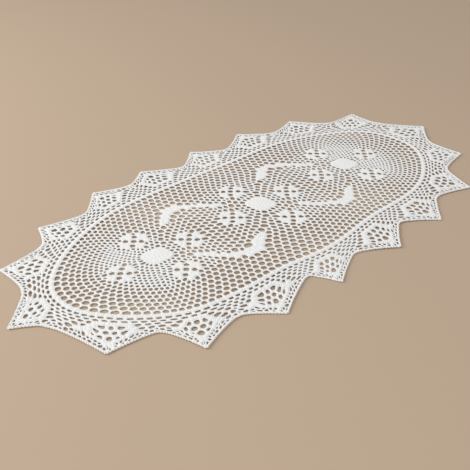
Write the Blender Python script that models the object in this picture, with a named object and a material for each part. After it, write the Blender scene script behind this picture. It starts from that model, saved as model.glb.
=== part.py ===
"""Crochet table runner: one flat piece of white cotton lace, an oval with eighteen points.

The frame is in metres with +Z up. The runner lies flat with its underside at Z = 0,
+X along its length and the middle of its box at X = Y = 0. The lace is a thin sheet with
its larger gaps cut through. The solid stitches stand a little above the net: the oval
band, the three discs, the blocks of the twelve flowers, the chevrons and the points.
"""

import math
from collections import namedtuple

import bmesh
import bpy
from mathutils import Vector

MM = 0.001

# Thickness
NET_THICKNESS = 1.4 * MM
RELIEF = 0.7 * MM

# The three medallions and the oval band around them
DISC_SPACING = 140.0 * MM
DISC_SIDE = 26.6 * MM
DISC_CORNER = 5.0 * MM
FLOWER_REACH = 40.6 * MM
FLOWER_PITCH = 8.1 * MM
FLOWER_HOLE = 3.3 * MM
FLOWER_BLOCK = 5.2 * MM
BAND_LENGTH = 488.0 * MM
BAND_BREADTH = 206.0 * MM
BAND_POWER = 2.5
BAND_WIDTH = 5.5 * MM
BAND_STEPS = 72

# The net, cut at twice the pitch of the real one: three rounds inside the band
NET_ROUNDS = (67, 63, 60)
NET_PITCH = 10.6 * MM
NET_HOLE_LENGTH = 12.6 * MM
NET_HOLE_BREADTH = 7.4 * MM
HEXAGON_SHOULDER = 0.55
FIRST_ROUND_INSET = 9.4 * MM

# The middle column of each window, also at twice its pitch
WINDOW_HOLES = 7
WINDOW_PITCH = 15.4 * MM
WINDOW_HOLE_LENGTH = 11.0 * MM
WINDOW_HOLE_BREADTH = 8.4 * MM

# The two open holes of each point's fan and its solid sides, as shares of the point
FAN_SIDE = 0.14
FAN_DEPTH = 0.44
FAN_HOLE_LENGTH = 5.6 * MM
FAN_HOLE_BREADTH = 4.4 * MM
SOLID_REACH = 0.80
SOLID_OUTER = 0.86
SOLID_INNER = 0.64
SOLID_STEPS = 4
SIDE_SAG = 1.2 * MM

# One chevron of a window, in shares of the disc spacing: its middle line from the short
# leg over the apex to the end of the long leg, with its width at each place
Place = namedtuple("Place", "x y width")
CHEVRON = (
    Place(-0.190, 0.295, 0.040),
    Place(-0.070, 0.405, 0.056),
    Place(0.000, 0.430, 0.058),
    Place(0.070, 0.405, 0.052),
    Place(0.210, 0.280, 0.030),
    Place(0.375, 0.125, 0.014),
)

# The points as they lie, in millimetres, anticlockwise from the left end, each with its
# tip and the valley after it
Tip = namedtuple("Tip", "name x y valley_x valley_y")
POINTS = (
    Tip("left end", -300, 0, -273, -18),
    Tip("near left side", -259, -84, -209, -90),
    Tip("near left corner", -197, -135, -148, -120),
    Tip("near left", -117, -149, -62, -121),
    Tip("near left of middle", -48, -152, -1, -127),
    Tip("near right of middle", 38, -154, 76, -123),
    Tip("near right", 111, -152, 149, -119),
    Tip("near right corner", 193, -135, 212, -90),
    Tip("near right side", 261, -81, 260, -35),
    Tip("right end", 297, -3, 262, 46),
    Tip("far right side", 264, 89, 217, 90),
    Tip("far right corner", 186, 131, 144, 119),
    Tip("far right", 109, 150, 69, 125),
    Tip("far right of middle", 32, 152, 0, 126),
    Tip("far left of middle", -44, 152, -73, 132),
    Tip("far left", -112, 149, -144, 114),
    Tip("far left corner", -195, 125, -209, 91),
    Tip("far left side", -261, 84, -261, 38),
)

# Where the lace was pulled a little out of its even form as it was laid, in millimetres:
# the middle of each pull, how far it reaches and how much it moves the lace there
Pull = namedtuple("Pull", "place x y reach dx dy")
PULLS = (
    Pull("far left", -110, 100, 60, -3.5, 3.5),
    Pull("far left of middle", -30, 100, 60, -3.5, -1.5),
    Pull("far right of middle", 60, 100, 60, -4.0, -3.0),
    Pull("far right", 150, 95, 60, -2.0, 1.5),
    Pull("near middle", 0, -100, 60, 8.0, 0.0),
    Pull("near right of middle", 70, -100, 60, 2.0, 2.5),
    Pull("near right", 160, -95, 60, 3.5, -4.0),
    Pull("left end", -245, 0, 60, -5.5, 1.0),
    Pull("right end", 240, 0, 60, -2.5, 2.5),
    Pull("near left corner", -205, -65, 50, 5.0, -1.5),
    Pull("near right corner", 205, -65, 50, -4.0, 2.0),
    Pull("far left corner", -200, 68, 50, -2.0, -2.0),
    Pull("far right corner", 200, 68, 50, -3.0, -2.0),
    Pull("middle disc", 0, 0, 50, 2.0, 1.5),
    Pull("left end's far side", -222, 45, 40, 7.0, -1.5),
    Pull("left end's far bend", -188, 78, 40, 0.5, -2.0),
    Pull("left end's near side", -236, -36, 35, 2.0, 3.0),
    Pull("left end's near bend", -168, -88, 40, -4.0, -4.5),
    Pull("near left band", -122, -98, 35, 1.0, -1.5),
    Pull("near left window", -69, -100, 32, -0.5, 3.0),
    Pull("near middle band", -15, -105, 40, 0.5, -2.5),
    Pull("near right window", 65, -102, 40, 0.0, 2.0),
    Pull("left disc's far flower", -140, 41, 30, 0.5, -5.5),
    Pull("left disc's near flower", -137, -40, 30, 4.5, 4.0),
    Pull("left disc's left flower", -182, 0, 28, -2.5, 0.0),
    Pull("middle disc's far flower", 0, 42, 28, -2.0, 3.0),
    Pull("middle disc's near flower", 0, -42, 28, 2.0, -2.0),
    Pull("right disc's near flower", 140, -41, 30, 2.0, 3.0),
)

MERGE = 0.000001
COTTON_WHITE = (0.84, 0.83, 0.80, 1.0)
COTTON_ROUGHNESS = 0.9


def laid(spot):
    """The place of a spot of the even pattern on the runner as it lies."""
    moved = spot.copy()
    for pull in PULLS:
        away = (spot - Vector((pull.x, pull.y)) * MM).length / (pull.reach * MM)
        moved += Vector((pull.dx, pull.dy)) * MM * math.exp(-away * away)
    return moved


def band_reach(foot, direction):
    """How far the band's middle line lies from a foot on the X axis, by halving."""
    near, far = 0.0, BAND_LENGTH
    for _ in range(40):
        middle = (near + far) / 2
        spot = foot + direction * middle
        size = abs(2 * spot.x / BAND_LENGTH) ** BAND_POWER
        size += abs(2 * spot.y / BAND_BREADTH) ** BAND_POWER
        if size < 1.0:
            near = middle
        else:
            far = middle
    return (near + far) / 2


def ray(turn, radius):
    """A foot on the line of the discs and a direction, for a share of a turn.

    A round of a given radius runs straight beside the line from disc to disc and half
    round each end disc. Shares grow anticlockwise from the right end of the far side.
    """
    straight = 2 * DISC_SPACING
    bend = math.pi * radius
    length = (turn % 1.0) * 2 * (straight + bend)
    side = 1.0
    if length >= straight + bend:
        length -= straight + bend
        side = -1.0
    if length < straight:
        return Vector((side * (DISC_SPACING - length), 0.0)), Vector((0.0, side))
    angle = math.pi * (length - straight) / bend
    direction = Vector((-math.sin(angle), math.cos(angle))) * side
    return Vector((-side * DISC_SPACING, 0.0)), direction


def on_round(turn, outward, radius=BAND_BREADTH / 2):
    """A spot at a share of a turn, so far outward of the band's middle line."""
    foot, direction = ray(turn, radius)
    return foot + direction * (band_reach(foot, direction) + outward), direction


def hexagon(centre, direction, length, breadth):
    """A six-sided hole, long across its direction, as it lies."""
    across = Vector((direction.y, -direction.x)) * length / 2
    up = direction * breadth / 2
    corners = (
        across,
        across * HEXAGON_SHOULDER + up,
        up - across * HEXAGON_SHOULDER,
        -across,
        -across * HEXAGON_SHOULDER - up,
        across * HEXAGON_SHOULDER - up,
    )
    return [laid(centre + corner) for corner in corners]


def diamond(centre, direction, length, breadth):
    """A four-sided shape standing on its corner, in place as given."""
    along = direction * length / 2
    across = Vector((direction.y, -direction.x)) * breadth / 2
    return [centre + across, centre + along, centre - across, centre - along]


def net_holes():
    """The rounds of net inside the band, every second one offset by half a hole."""
    holes = []
    for row, count in enumerate(NET_ROUNDS):
        inset = FIRST_ROUND_INSET + row * NET_PITCH
        radius = BAND_BREADTH / 2 - inset
        for index in range(count):
            turn = (index + row % 2 / 2) / count
            centre, direction = on_round(turn, -inset, radius)
            holes.append(hexagon(centre, direction, NET_HOLE_LENGTH, NET_HOLE_BREADTH))
    return holes


def window_holes():
    """The middle column of holes in the two windows between the discs."""
    holes = []
    for side in (-1, 1):
        for index in range(WINDOW_HOLES):
            y = (index - (WINDOW_HOLES - 1) / 2) * WINDOW_PITCH
            centre = Vector((side * DISC_SPACING / 2, y))
            across = Vector((1.0, 0.0))
            holes.append(hexagon(centre, across, WINDOW_HOLE_LENGTH, WINDOW_HOLE_BREADTH))
    return holes


def flower_centres():
    """The twelve flowers, one on each side of each disc."""
    centres = []
    for disc in (-1, 0, 1):
        for quarter in range(4):
            angle = quarter * math.pi / 2
            arm = Vector((math.cos(angle), math.sin(angle))) * FLOWER_REACH
            centres.append(Vector((disc * DISC_SPACING, 0.0)) + arm)
    return centres


def flower(centre):
    """One flower on a grid turned by 45 degrees: a cross of holes and four blocks."""
    holes = []
    blocks = []
    upright = Vector((0.0, 1.0))
    for column in (-1, 0, 1):
        for row in (-1, 0, 1):
            step = Vector((column - row, column + row)) * FLOWER_PITCH / math.sqrt(2)
            spot = laid(centre + step)
            if column and row:
                blocks.append(diamond(spot, upright, 2 * FLOWER_BLOCK, 2 * FLOWER_BLOCK))
            else:
                holes.append(diamond(spot, upright, 2 * FLOWER_HOLE, 2 * FLOWER_HOLE))
    return holes, blocks


def disc(centre):
    """The solid disc of a medallion, a square with cut corners."""
    half = DISC_SIDE / 2
    inner = half - DISC_CORNER
    corners = []
    for quarter in range(4):
        angle = quarter * math.pi / 2
        ahead = Vector((math.cos(angle), math.sin(angle)))
        left = Vector((-ahead.y, ahead.x))
        corners.append(laid(centre + ahead * half - left * inner))
        corners.append(laid(centre + ahead * half + left * inner))
    return corners


def strip(middle, widths):
    """The outline of a strip about a middle line, with its width at each place."""
    left = []
    right = []
    last = len(middle) - 1
    for index, spot in enumerate(middle):
        course = middle[min(index + 1, last)] - middle[max(index - 1, 0)]
        course.normalize()
        side = Vector((-course.y, course.x)) * widths[index] / 2
        left.append(laid(spot + side))
        right.append(laid(spot - side))
    return left + right[::-1]


def chevrons():
    """Four chevrons, one over and one under each window, the lower turned half round."""
    shapes = []
    for window in (-0.5, 0.5):
        for turn in (1, -1):
            apex = Vector((window, 0.0)) * DISC_SPACING
            middle = [apex + turn * Vector((place.x, place.y)) * DISC_SPACING
                      for place in CHEVRON]
            widths = [place.width * DISC_SPACING for place in CHEVRON]
            shapes.append(strip(middle, widths))
    return shapes


def band_edge(outward):
    """One edge of the oval band, as it lies."""
    return [laid(on_round(step / BAND_STEPS, outward)[0]) for step in range(BAND_STEPS)]


def turn_of(spot):
    """The share of a turn at which a spot near the outline lies."""
    straight = 2 * DISC_SPACING
    bend = math.pi * BAND_BREADTH / 2
    side = 1.0 if spot.y > 0 else -1.0
    if abs(spot.x) < DISC_SPACING:
        length = DISC_SPACING - side * spot.x
    elif spot.x < 0:
        side = 1.0
        length = straight + bend * math.atan2(-spot.x - DISC_SPACING, spot.y) / math.pi
    else:
        side = -1.0
        length = straight + bend * math.atan2(spot.x - DISC_SPACING, -spot.y) / math.pi
    if side < 0:
        length += straight + bend
    return length / (2 * (straight + bend))


def corners_of(index):
    """The valley before a point, its tip and the valley after it."""
    before, point = POINTS[index - 1], POINTS[index]
    first = Vector((before.valley_x, before.valley_y)) * MM
    tip = Vector((point.x, point.y)) * MM
    last = Vector((point.valley_x, point.valley_y)) * MM
    return first, tip, last


def in_point(index, side, share):
    """A spot of a point: side from valley -1 to valley 1, share from band 0 to edge 1."""
    before, tip, after = corners_of(index)
    edge = tip.lerp(after if side > 0 else before, abs(side))
    start, end = turn_of(before), turn_of(after)
    if end < start:
        end += 1.0
    turn = start + (end - start) * (side + 1) / 2
    base = laid(on_round(turn, BAND_WIDTH / 2)[0])
    return base.lerp(edge, share)


def outline():
    """The edge of the runner, with slightly hollow sides and rounded tips and valleys."""
    edge = []
    for index in range(len(POINTS)):
        before, tip, after = corners_of(index)
        inward = in_point(index, 0, 0) - tip
        sag = inward.normalized() * SIDE_SAG
        edge.append(before.lerp(tip, 0.12))
        edge.append(before.lerp(tip, 0.50) + sag)
        edge.append(before.lerp(tip, 0.93))
        edge.append(tip + sag)
        edge.append(tip.lerp(after, 0.07))
        edge.append(tip.lerp(after, 0.50) + sag)
        edge.append(tip.lerp(after, 0.88))
    return edge


def fan_holes(index):
    """The two largest holes of a point, at the head of its fan."""
    tip = in_point(index, 0, 1)
    course = (tip - in_point(index, 0, 0)).normalized()
    holes = []
    for side in (-FAN_SIDE, FAN_SIDE):
        spot = in_point(index, side, FAN_DEPTH)
        holes.append(diamond(spot, course, FAN_HOLE_LENGTH, FAN_HOLE_BREADTH))
    return holes


def solid_sides(index):
    """The solid stitches along both sides of a point, one bent strip."""
    sides = [SOLID_REACH * (step / SOLID_STEPS - 1) for step in range(2 * SOLID_STEPS + 1)]
    outer = [in_point(index, side, SOLID_OUTER) for side in sides]
    inner = [in_point(index, side, SOLID_INNER) for side in sides]
    return outer + inner[::-1]


def filled(name, loops, middle):
    """A flat mesh between nested loops, from a filled 2D curve, about the box's middle."""
    curve = bpy.data.curves.new(name, "CURVE")
    curve.dimensions = "2D"
    curve.fill_mode = "BOTH"
    for loop in loops:
        spline = curve.splines.new("POLY")
        spline.points.add(len(loop) - 1)
        spline.use_cyclic_u = True
        for point, spot in zip(spline.points, loop):
            point.co = (spot.x - middle.x, spot.y - middle.y, 0.0, 1.0)
    helper = bpy.data.objects.new(name, curve)
    bpy.context.scene.collection.objects.link(helper)
    shown = helper.evaluated_get(bpy.context.evaluated_depsgraph_get())
    mesh = bpy.data.meshes.new_from_object(shown)
    bpy.data.objects.remove(helper)
    return mesh


def raise_faces(shape, faces, height):
    """Extrude faces of a mesh straight up and keep the faces they came from."""
    raised = bmesh.ops.extrude_face_region(shape, geom=faces)
    verts = [item for item in raised["geom"] if isinstance(item, bmesh.types.BMVert)]
    bmesh.ops.translate(shape, vec=(0.0, 0.0, height), verts=verts)
    return [item for item in raised["geom"] if isinstance(item, bmesh.types.BMFace)]


def lace_mesh(ground, solids, middle):
    """The lace as one closed mesh: the whole sheet raised once, its solid parts twice."""
    shape = bmesh.new()
    shape.from_mesh(filled("ground", ground + solids, middle))
    ground_count = len(shape.faces)
    shape.from_mesh(filled("solids", solids, middle))
    solid = shape.faces.layers.int.new("solid")
    shape.faces.ensure_lookup_table()
    for face in shape.faces[ground_count:]:
        face[solid] = 1
    bmesh.ops.remove_doubles(shape, verts=shape.verts, dist=MERGE)
    top = raise_faces(shape, shape.faces[:], NET_THICKNESS)
    covered = [face for face in top if face[solid]]
    raise_faces(shape, covered, RELIEF)
    bmesh.ops.delete(shape, geom=covered, context="FACES")
    shape.faces.layers.int.remove(solid)
    bmesh.ops.recalc_face_normals(shape, faces=shape.faces)
    mesh = bpy.data.meshes.new("runner")
    shape.to_mesh(mesh)
    shape.free()
    return mesh


def cotton():
    """White crochet cotton."""
    material = bpy.data.materials.new("White cotton")
    material.use_nodes = True
    shader = material.node_tree.nodes["Principled BSDF"]
    shader.inputs["Base Color"].default_value = COTTON_WHITE
    shader.inputs["Roughness"].default_value = COTTON_ROUGHNESS
    shader.inputs["Metallic"].default_value = 0.0
    return material


def box_middle(edge):
    """The middle of the box around the outline."""
    across = [spot.x for spot in edge]
    along = [spot.y for spot in edge]
    return Vector((min(across) + max(across), min(along) + max(along))) / 2


def build():
    """Clear the scene and make the runner."""
    for item in list(bpy.data.objects):
        bpy.data.objects.remove(item)
    group = bpy.data.collections.new("Crochet table runner")
    bpy.context.scene.collection.children.link(group)
    edge = outline()
    holes = net_holes() + window_holes()
    solids = [band_edge(BAND_WIDTH / 2), band_edge(-BAND_WIDTH / 2)]
    for place in (-1, 0, 1):
        solids.append(disc(Vector((place * DISC_SPACING, 0.0))))
    for centre in flower_centres():
        open_holes, blocks = flower(centre)
        holes += open_holes
        solids += blocks
    solids += chevrons()
    for index in range(len(POINTS)):
        holes += fan_holes(index)
        solids.append(solid_sides(index))
    mesh = lace_mesh([edge] + holes, solids, box_middle(edge))
    mesh.materials.append(cotton())
    runner = bpy.data.objects.new("runner", mesh)
    group.objects.link(runner)


build()
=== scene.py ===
"""Crochet table runner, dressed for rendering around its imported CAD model.

The lace is worked out as a pattern of stitches: one spot for each gap of the net and for
each solid stitch. The cells about those spots share their borders. A gap's cell carries
its half of the strands around it, and a solid stitch's cell is a low dome. The file is
laid out as an add-on and is run as a script.
"""

import math
from collections import namedtuple
from functools import lru_cache

import bpy
import numpy as np
from bpy.props import FloatProperty, FloatVectorProperty, IntProperty, PointerProperty
from mathutils import Matrix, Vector
from mathutils.geometry import delaunay_2d_cdt


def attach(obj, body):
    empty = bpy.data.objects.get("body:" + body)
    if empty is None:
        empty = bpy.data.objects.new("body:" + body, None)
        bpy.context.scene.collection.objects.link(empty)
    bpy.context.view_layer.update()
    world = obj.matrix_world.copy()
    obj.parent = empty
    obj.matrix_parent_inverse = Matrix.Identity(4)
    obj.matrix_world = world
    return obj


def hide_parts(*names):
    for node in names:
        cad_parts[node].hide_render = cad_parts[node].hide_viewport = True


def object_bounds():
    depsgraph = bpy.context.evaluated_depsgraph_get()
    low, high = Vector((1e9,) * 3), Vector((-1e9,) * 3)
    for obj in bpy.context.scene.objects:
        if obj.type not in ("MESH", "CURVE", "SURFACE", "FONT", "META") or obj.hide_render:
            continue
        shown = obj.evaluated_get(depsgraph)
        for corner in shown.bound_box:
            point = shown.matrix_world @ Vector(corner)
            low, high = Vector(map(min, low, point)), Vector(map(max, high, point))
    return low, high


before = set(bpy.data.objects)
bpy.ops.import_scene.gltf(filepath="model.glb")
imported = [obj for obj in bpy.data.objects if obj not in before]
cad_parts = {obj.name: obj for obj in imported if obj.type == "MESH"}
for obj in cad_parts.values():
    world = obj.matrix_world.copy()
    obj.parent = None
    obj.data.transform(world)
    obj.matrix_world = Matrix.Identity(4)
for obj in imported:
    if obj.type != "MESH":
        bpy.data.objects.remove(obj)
CAD_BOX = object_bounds()

bl_info = {
    "name": "Crochet table runner",
    "version": (1, 0, 0),
    "blender": (4, 5, 0),
    "location": "3D View > Sidebar > Lace",
    "description": "Builds a crocheted lace runner, stitch by stitch, and its stage",
    "category": "Add Mesh",
}

NODE = "runner"
BODY = "root"
COTTON = "White cotton"
THREAD = "thread"
MM = 0.001
SEED = 11

# How often a line is halved to find the band, and what is too small to count
HALVINGS = 40
SLACK = 0.01
TINY = 1e-6
NEXT_TO_NOTHING = 1e-9

# What a spot stands for, what meets at a corner of the cells, and the areas of the lace
GAP, STITCH, BEYOND = 0, 1, 2
STRAND, SHORE, GROOVE, RIM = 0, 1, 2, 3
NET, MEDALLIONS, BAND, BORDER, EDGE, FLOWER = 0, 1, 2, 3, 4, 5
GROUND = (NET, FLOWER)
NO_CORNER = -1

# Sizes that are the CAD part's own, in millimetres
DISC_SPACING = 140.0
DISCS = (-DISC_SPACING, 0.0, DISC_SPACING)
WINDOWS = (-DISC_SPACING / 2, DISC_SPACING / 2)
DISC_HALF = 13.3
FLOWER_REACH = 40.6
FLOWER_STEP = 5.73
BAND_LENGTH = 488.0
BAND_BREADTH = 206.0
BAND_POWER = 2.5
BAND_WIDTH = 5.5
SIDE_SAG = 1.2

# How far the valleys are rounded outwards, and a side's length in that hyperbola
VALLEY_ROUND = 3.2
VALLEY_REACH = 24.0

# One chevron from its short leg to the end of its long one: places and width, in shares of
# the disc spacing
CHEVRON = np.array((
    (-0.190, 0.295, 0.040),
    (-0.070, 0.405, 0.056),
    (0.000, 0.430, 0.058),
    (0.070, 0.405, 0.052),
    (0.210, 0.280, 0.026),
    (0.325, 0.173, 0.010),
)) * DISC_SPACING

# The points as they lie, anticlockwise from the left end: each tip and the valley after it
POINTS = np.array((
    (-300, 0, -273, -18),  # left end
    (-259, -84, -209, -90),  # near left side
    (-197, -135, -148, -120),  # near left corner
    (-117, -149, -62, -121),  # near left
    (-48, -152, -1, -127),  # near left of middle
    (38, -154, 76, -123),  # near right of middle
    (111, -152, 149, -119),  # near right
    (193, -135, 212, -90),  # near right corner
    (261, -81, 260, -35),  # near right side
    (297, -3, 262, 46),  # right end
    (264, 89, 217, 90),  # far right side
    (186, 131, 144, 119),  # far right corner
    (109, 150, 69, 125),  # far right
    (32, 152, 0, 126),  # far right of middle
    (-44, 152, -73, 132),  # far left of middle
    (-112, 149, -144, 114),  # far left
    (-195, 125, -209, 91),  # far left corner
    (-261, 84, -261, 38),  # far left side
), float)

# The soft pulls that the lace was given as it was laid: a place, how far the pull reaches
# and how far it moves the lace there
PULLS = (
    (-110, 100, 60, -3.5, 3.5), (-30, 100, 60, -3.5, -1.5), (60, 100, 60, -4.0, -3.0),
    (150, 95, 60, -2.0, 1.5), (0, -100, 60, 8.0, 0.0), (70, -100, 60, 2.0, 2.5),
    (160, -95, 60, 3.5, -4.0), (-245, 0, 60, -5.5, 1.0), (240, 0, 60, -2.5, 2.5),
    (-205, -65, 50, 5.0, -1.5), (205, -65, 50, -4.0, 2.0), (-200, 68, 50, -2.0, -2.0),
    (200, 68, 50, -3.0, -2.0), (0, 0, 50, 2.0, 1.5), (-222, 45, 40, 7.0, -1.5),
    (-188, 78, 40, 0.5, -2.0), (-236, -36, 35, 2.0, 3.0), (-168, -88, 40, -4.0, -4.5),
    (-122, -98, 35, 1.0, -1.5), (-69, -100, 32, -0.5, 3.0), (-15, -105, 40, 0.5, -2.5),
    (65, -102, 40, 0.0, 2.0), (-140, 41, 30, 0.5, -5.5), (-137, -40, 30, 4.5, 4.0),
    (-182, 0, 28, -2.5, 0.0), (0, 42, 28, -2.0, 3.0), (0, -42, 28, 2.0, -2.0),
    (140, -41, 30, 2.0, 3.0),
)

# The net's rounds, counted from the band inwards. The inner ones have this many gaps either
# side of each disc's middle, ever closer together
ROUNDS = 15
OUTER_ROUNDS = 7
OUTER_CELLS = 36
INNER_CELLS = 10
INNER_PITCH = 6.2
PITCH_LOSS = 0.12
SEAM_SWELL = 1.16
FIRST_ROUND = 0.36
LAST_ROUND = 0.56

# The fine rounds about the end discs, and how far the outermost draws in where it meets the
# straight rounds and at the bends
FINE_REACH = 58.0
FINE_ROUNDS = 9
FINE_CELLS = 36
FINE_LOSS = 3
SIDE_DIP = 3.7
BEND_DIP = 5.0

# How far each column of a window lies from the seam between two discs, its gaps either side
# of the middle, and their pitch: at the seam, its loss for each millimetre, and at least
COLUMNS = (3.3, 9.9, 15.7, 21.0, 26.0, 30.9, 35.7, 40.4, 45.1, 49.8, 54.4)
COLUMN_CELLS = 8
SEAM_PITCH = 7.7
COLUMN_LOSS = 0.05
LEAST_PITCH = 6.6

# Where columns and rounds meet: that line's start and slope, the room either side of it, and
# the height over which the rounds run on across the window
MITRE_START = 0.09 * DISC_SPACING
MITRE_SLOPE = 0.854
ROUNDS_CLEAR = 2.2
COLUMNS_CLEAR = 2.6
WINDOW_TOP = 0.47 * DISC_SPACING

# The room that the net leaves about the solid shapes
CHEVRON_CLEAR = 1.6
DISC_CLEAR = 2.2
END_DISC_CLEAR = 1.2
FLOWER_ZONE = 16.2
FLOWER_POWER = 1.35
FLOWER_GAP = 3.5

# The solid stitches: where a flower's posts stand, a disc's rings (count and reach), the
# pitch in a chevron and its first round, the band's pitch, and the twist along a post
TIP_POSTS = (-3.3, -1.1, 1.1, 3.3)
ROW_POSTS = (-10.8, -1.1, 1.1, 10.8)
ARM_POSTS = (6.3, 8.6, 10.9, 13.2)
MIDDLE_POSTS = (-3.3, 3.3)
DISC_RINGS = ((1, 0.0), (8, 3.4), (18, 7.3), (32, 11.3))
CHEVRON_PITCH = 2.25
CHEVRON_ROUND = 4
BAND_PITCH = 2.5
BAND_STEPS = 2000
POST_TWIST = 0.2

# How far a gap moves to the middle of its cell in each round of evening out, how much the
# rim draws in along a long cell, and how uneven rims (as a share), spots and heights are
RELAX_STEP = 0.6
LONG_GAP = 0.5
UNEVEN_RIM = 0.08
UNEVEN_SPOT = 0.28
UNEVEN_TOP = 0.05

# Half the width of a strand in each part of the net, in millimetres, at the usual width. The
# points past the last value's x are the end points
USUAL_WIDTH = 1.8
OUTER_HALF = 0.98
INNER_HALF = 1.1
FINE_HALF = 1.14
WINDOW_HALF = 1.06
FLOWER_HALF = 0.62
LENS_HALF = 1.1
FAN_HALF = 1.3
FAR_FAN_HALF = 1.45
END_FAN_HALF = 1.65
END_POINTS = 250.0

# How much of a strand's half comes off a gap at a cell's corners and sides, where only gaps
# meet and where a solid stitch does, and the least and most that a rim's share may be
CORNER_REACH = 0.9
CORNER_INSETS = (1.2, 1.05)
SIDE_INSETS = (1.0, 0.85)
RIM_LIMITS = (0.12, 0.92)

# A point's fan of gaps: shares towards the valley and of the depth at the tip
FAN = ((0.0, 0.31), (0.2, 0.30), (0.1, 0.44), (0.3, 0.42), (0.0, 0.59), (0.19, 0.565),
       (0.37, 0.52))
FAN_WIDTH = 34.0
FAN_SPREAD = (0.8, 1.3)

# Where a half point is measured beside its tip line, as a share of the way to the valley
BY_THE_TIP = 0.001

# The border's rows from the band outwards: where each starts between the tip line and the
# valley, and how far it bends out beside the point
BORDER_ROWS = ((0.0, 0.0), (0.0, 0.0), (0.36, 2.0), (0.5, 6.0), (0.62, 10.0), (0.72, 14.0),
               (0.78, 18.0), (0.82, 22.0))
FEWEST_ROWS = 4
ROW_PITCH = 3.1
LENS_PITCH = 7.7
ROWS_SHORT = 4.6

# The rows along a point's edge: how far inside it each lies, its pitch and the share of the
# side that it is counted over, where it starts and how far it runs, and its stitches. The
# one without a pitch is a single slit on the tip line
Row = namedtuple("Row", "inside pitch span start run kind area half")
EDGE_ROWS = (
    Row(1.3, 2.7, 1.0, 0.0, 1.0, STITCH, EDGE, 0.0),
    Row(3.75, 5.6, 1.0, 0.0, 1.0, GAP, BORDER, 0.72),
    Row(7.6, 0.0, 0.0, 0.0, 0.0, GAP, BORDER, 0.8),
    Row(7.6, 5.0, 0.6, 0.1, 0.56, GAP, BORDER, 0.85),
    Row(10.6, 2.6, 0.36, 0.0, 0.36, STITCH, EDGE, 0.0),
)

# The solid stitches at a fan's foot, and the rib from there out to the edge. The last two
# are taken off the depth, for the rib's reach and for its count
FOOT_OUT = 8.2
FOOT_SPAN = 0.3
FOOT_PITCH = 2.5
RIB_PITCH = 2.6
RIB_START = 0.32
RIB_RUN = 0.28
RIB_OUT = 8.4
REACH_LOSS = 18.0
COUNT_LOSS = 26.0

# The even pattern draws the border out, which makes its flat gaps rounder there: by this
# share, down to a depth that grows towards the valley
STRETCH = 0.75
STRETCH_DEPTH = 9.0
STRETCH_GROWTH = 12.0
STRETCH_FROM = 0.35
STRETCH_OVER = 0.3

# Heights, as shares of the net's thickness or of the solid stitches' height: of the borders
# by what meets there, and of the rings inwards, with how far out each ring lies
BORDER_TOPS = (1.0, 1.05, 0.82, 0.7)
RIM_BOTTOM = 0.25
UNDERSIDE = 0.02
KNOT_LIFT, OTHER_LIFT = 0.12, -0.06
SHOULDER_WAY, SHOULDER_TOP = 0.55, 0.90
GAP_RIM_TOP = 0.48
DOME = ((0.78, 0.84), (0.42, 0.98))
PEAK_TOP = 1.02

# The lace's ripples over the floor and the reach of the discs' rise, in millimetres
RIPPLE_ALONG = 31.0
RIPPLE_ACROSS = 26.0
RIPPLE_SLANT = 90.0
RIPPLE_BEND = 1.3
BEND_LENGTH = 47.0
DISC_RISE_REACH = 15.0

# The thread's twist in millimetres, how fine its fibres and patches are, what the twist and
# the fibres give to the relief, how much shade is painted into the twist's grooves, how rough
# the cotton is at least and what the fibres add, and the relief's strength and its depth in metres
TWIST_LENGTH = 1.15
TWIST_SLANT = 3.4
FIBRE_SCALE = 2600.0
PATCH_SCALE = 28.0
TWIST_RELIEF = 0.65
FIBRE_RELIEF = 0.35
# Painted shade: how far the base colour is darkened in the troughs of the twist
GROOVE_PAINTED_SHADE = 0.35
LEAST_ROUGHNESS = 0.82
FIBRE_ROUGHNESS = 0.16
BUMP_STRENGTH = 0.55
BUMP_DISTANCE = 0.00022


def laid(spots):
    """Spots of the even pattern moved to where they lie: each pull adds its own shift,
    fading as a bell curve with the distance from its middle."""
    moved = spots.copy()
    for x, y, reach, *shift in PULLS:
        away = np.hypot(spots[:, 0] - x, spots[:, 1] - y) / reach
        moved += np.exp(-away * away)[:, None] * shift
    return moved


def band_reach(foot, direction):
    """How far the band's middle line lies from each foot, found by halving: the band is
    where the shares of half its length and half its breadth, each to the band's power,
    add up to one."""
    near, far = np.zeros(len(foot)), np.full(len(foot), BAND_LENGTH)
    for _ in range(HALVINGS):
        middle = (near + far) / 2
        spot = np.abs(foot + direction * middle[:, None])
        size = (2 * spot[:, 0] / BAND_LENGTH) ** BAND_POWER
        size += (2 * spot[:, 1] / BAND_BREADTH) ** BAND_POWER
        near = np.where(size < 1, middle, near)
        far = np.where(size < 1, far, middle)
    return near


def ray(turn):
    """A foot on the line of the discs and a direction for each share of a turn: straight
    up or down beside the discs' line, then fanning half round each end disc."""
    straight, bend = 2 * DISC_SPACING, math.pi * BAND_BREADTH / 2
    length = (np.asarray(turn, float) % 1.0) * 2 * (straight + bend)
    side = np.where(length >= straight + bend, -1.0, 1.0)
    length = length % (straight + bend)
    angle = math.pi * np.maximum(length - straight, 0) / bend
    foot = np.stack([side * (DISC_SPACING - np.minimum(length, straight)), 0 * length], 1)
    return foot, side[:, None] * np.stack([-np.sin(angle), np.cos(angle)], 1)


def on_round(turn, outward):
    """Spots at shares of a turn, so far outward of the band's middle line."""
    foot, direction = ray(turn)
    return foot + direction * (band_reach(foot, direction) + outward)[:, None]


def turn_of(x, y):
    """The share of a turn at which a spot near the outline lies."""
    straight, bend = 2 * DISC_SPACING, math.pi * BAND_BREADTH / 2
    side = 1.0 if y > 0 else -1.0
    if abs(x) < DISC_SPACING:
        length = DISC_SPACING - side * x
    else:
        side = -np.sign(x)
        length = straight + bend * math.atan2(abs(x) - DISC_SPACING, side * y) / math.pi
    if side < 0:
        length += straight + bend
    return length / (2 * (straight + bend))


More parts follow.
